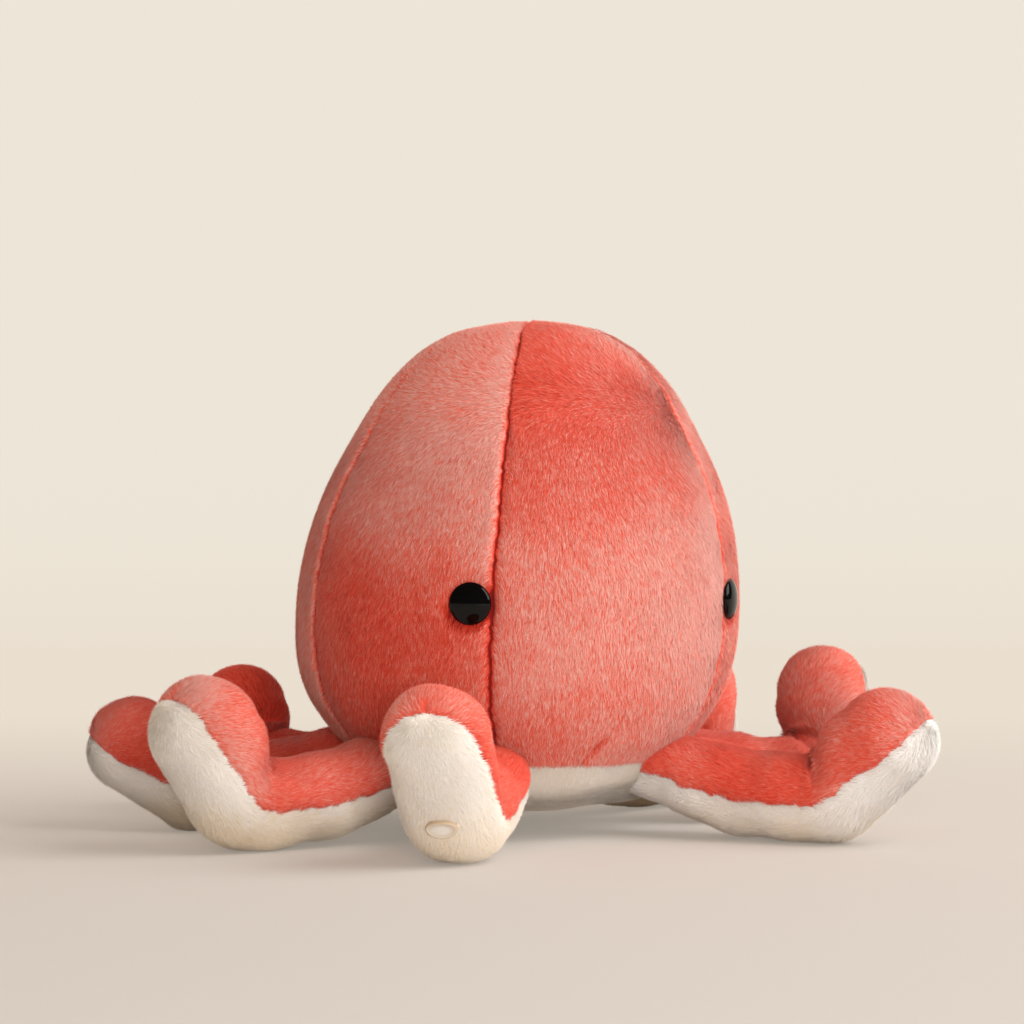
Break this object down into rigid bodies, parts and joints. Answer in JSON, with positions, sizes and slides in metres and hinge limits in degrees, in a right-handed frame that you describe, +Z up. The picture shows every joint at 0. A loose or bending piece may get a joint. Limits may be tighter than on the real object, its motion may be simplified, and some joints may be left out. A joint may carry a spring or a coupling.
{
  "type": "plush octopus",
  "caption": "Round-headed plush octopus with a cream underside, glossy button eyes and stuffed arms whose tips curl up; the arms lift and the tips uncurl.",
  "frame": {"origin": "on the ground, under the middle of the toy's footprint", "axes": "+Z up, -Y the way the face looks, +X on the toy's left"},
  "size_m": [0.2778, 0.2618, 0.1768],
  "materials": {
    "coral_plush": "short soft pile",
    "cream_plush": "short soft pile",
    "filling": "loose fibre",
    "eye_black": "gloss",
    "eye_washer": "matte",
    "patch_white": "smooth woven"
  },
  "bodies": {
    "body": {"head_front": "coral_plush", "head_side_px": "coral_plush", "head_side_nx": "coral_plush", "head_back_px": "coral_plush", "head_back_nx": "coral_plush", "base_panel": "cream_plush", "head_filling": "filling", "eye_px": "eye_black", "eye_nx": "eye_black", "eye_washer_px": "eye_washer", "eye_washer_nx": "eye_washer"},
    "arm1": {"arm1_upper": "coral_plush", "arm1_under": "cream_plush", "arm1_filling": "filling"},
    "arm2": {"arm2_upper": "coral_plush", "arm2_under": "cream_plush", "arm2_filling": "filling"},
    "arm3": {"arm3_upper": "coral_plush", "arm3_under": "cream_plush", "arm3_filling": "filling"},
    "arm4": {"arm4_upper": "coral_plush", "arm4_under": "cream_plush", "arm4_filling": "filling"},
    "arm5": {"arm5_upper": "coral_plush", "arm5_under": "cream_plush", "arm5_filling": "filling"},
    "arm6": {"arm6_upper": "coral_plush", "arm6_under": "cream_plush", "arm6_filling": "filling"},
    "arm7": {"arm7_upper": "coral_plush", "arm7_under": "cream_plush", "arm7_filling": "filling"},
    "arm8": {"arm8_upper": "coral_plush", "arm8_under": "cream_plush", "arm8_filling": "filling"},
    "tip1": {"tip1_upper": "coral_plush", "tip1_under": "cream_plush", "tip1_filling": "filling", "tip_patch": "patch_white"},
    "tip2": {"tip2_upper": "coral_plush", "tip2_under": "cream_plush", "tip2_filling": "filling"},
    "tip3": {"tip3_upper": "coral_plush", "tip3_under": "cream_plush", "tip3_filling": "filling"},
    "tip4": {"tip4_upper": "coral_plush", "tip4_under": "cream_plush", "tip4_filling": "filling"},
    "tip5": {"tip5_upper": "coral_plush", "tip5_under": "cream_plush", "tip5_filling": "filling"},
    "tip6": {"tip6_upper": "coral_plush", "tip6_under": "cream_plush", "tip6_filling": "filling"},
    "tip7": {"tip7_upper": "coral_plush", "tip7_under": "cream_plush", "tip7_filling": "filling"},
    "tip8": {"tip8_upper": "coral_plush", "tip8_under": "cream_plush", "tip8_filling": "filling"}
  },
  "joints": [
    {"name": "arm1_lift", "type": "hinge", "parent": "body", "child": "arm1", "pos_m": [-0.03831, -0.05571, 0.03599], "axis": [-0.7661, 0.6427, 0], "range_deg": [-5, 40], "stiffness_Nm_per_rad": 0.3},
    {"name": "tip1_curl", "type": "hinge", "parent": "arm1", "child": "tip1", "pos_m": [-0.06167, -0.08239, 0.0148], "axis": [-0.7473, 0.6645, 0], "range_deg": [-45, 2], "stiffness_Nm_per_rad": 0.1},
    {"name": "arm2_lift", "type": "hinge", "parent": "body", "child": "arm2", "pos_m": [-0.06092, -0.01575, 0.03599], "axis": [-0.1564, 0.9877, 0], "range_deg": [-5, 40], "stiffness_Nm_per_rad": 0.3},
    {"name": "tip2_curl", "type": "hinge", "parent": "arm2", "child": "tip2", "pos_m": [-0.10527, -0.01984, 0.0148], "axis": [-0.0725, 0.9974, 0], "range_deg": [-50, 2], "stiffness_Nm_per_rad": 0.1},
    {"name": "arm3_lift", "type": "hinge", "parent": "body", "child": "arm3", "pos_m": [-0.0535, 0.0263, 0.03599], "axis": [0.4851, 0.8745, 0], "range_deg": [-5, 40], "stiffness_Nm_per_rad": 0.3},
    {"name": "tip3_curl", "type": "hinge", "parent": "arm3", "child": "tip3", "pos_m": [-0.09247, 0.04357, 0.0148], "axis": [0.3799, 0.925, 0], "range_deg": [-25, 2], "stiffness_Nm_per_rad": 0.1},
    {"name": "arm4_lift", "type": "hinge", "parent": "body", "child": "arm4", "pos_m": [-0.0218, 0.05484, 0.03599], "axis": [0.9205, 0.3908, 0], "range_deg": [-5, 40], "stiffness_Nm_per_rad": 0.3},
    {"name": "tip4_curl", "type": "hinge", "parent": "arm4", "child": "tip4", "pos_m": [-0.04734, 0.09121, 0.0148], "axis": [0.7813, 0.6241, 0], "range_deg": [-50, 2], "stiffness_Nm_per_rad": 0.1},
    {"name": "arm5_lift", "type": "hinge", "parent": "body", "child": "arm5", "pos_m": [0.02626, 0.05609, 0.03599], "axis": [0.9396, -0.3423, 0], "range_deg": [-5, 40], "stiffness_Nm_per_rad": 0.3},
    {"name": "tip5_curl", "type": "hinge", "parent": "arm5", "child": "tip5", "pos_m": [0.04886, 0.09623, 0.0148], "axis": [0.8473, -0.5311, 0], "range_deg": [-45, 2], "stiffness_Nm_per_rad": 0.1},
    {"name": "arm6_lift", "type": "hinge", "parent": "body", "child": "arm6", "pos_m": [0.06222, 0.02426, 0.03599], "axis": [0.454, -0.891, 0], "range_deg": [-5, 40], "stiffness_Nm_per_rad": 0.3},
    {"name": "tip6_curl", "type": "hinge", "parent": "arm6", "child": "tip6", "pos_m": [0.10584, 0.04098, 0.0148], "axis": [0.3296, -0.9441, 0], "range_deg": [-50, 2], "stiffness_Nm_per_rad": 0.1},
    {"name": "arm7_lift", "type": "hinge", "parent": "body", "child": "arm7", "pos_m": [0.06769, -0.02024, 0.03599], "axis": [-0.2249, -0.9744, 0], "range_deg": [-5, 40], "stiffness_Nm_per_rad": 0.3},
    {"name": "tip7_curl", "type": "hinge", "parent": "arm7", "child": "tip7", "pos_m": [0.11304, -0.03471, 0.0148], "axis": [-0.326, -0.9454, 0], "range_deg": [-60, 2], "stiffness_Nm_per_rad": 0.1},
    {"name": "arm8_lift", "type": "hinge", "parent": "body", "child": "arm8", "pos_m": [0.04328, -0.05784, 0.03599], "axis": [-0.7986, -0.6019, 0], "range_deg": [-5, 40], "stiffness_Nm_per_rad": 0.3},
    {"name": "tip8_curl", "type": "hinge", "parent": "arm8", "child": "tip8", "pos_m": [0.06964, -0.09614, 0.0148], "axis": [-0.8306, -0.5568, 0], "range_deg": [-37, 2], "stiffness_Nm_per_rad": 0.1}
  ]
}
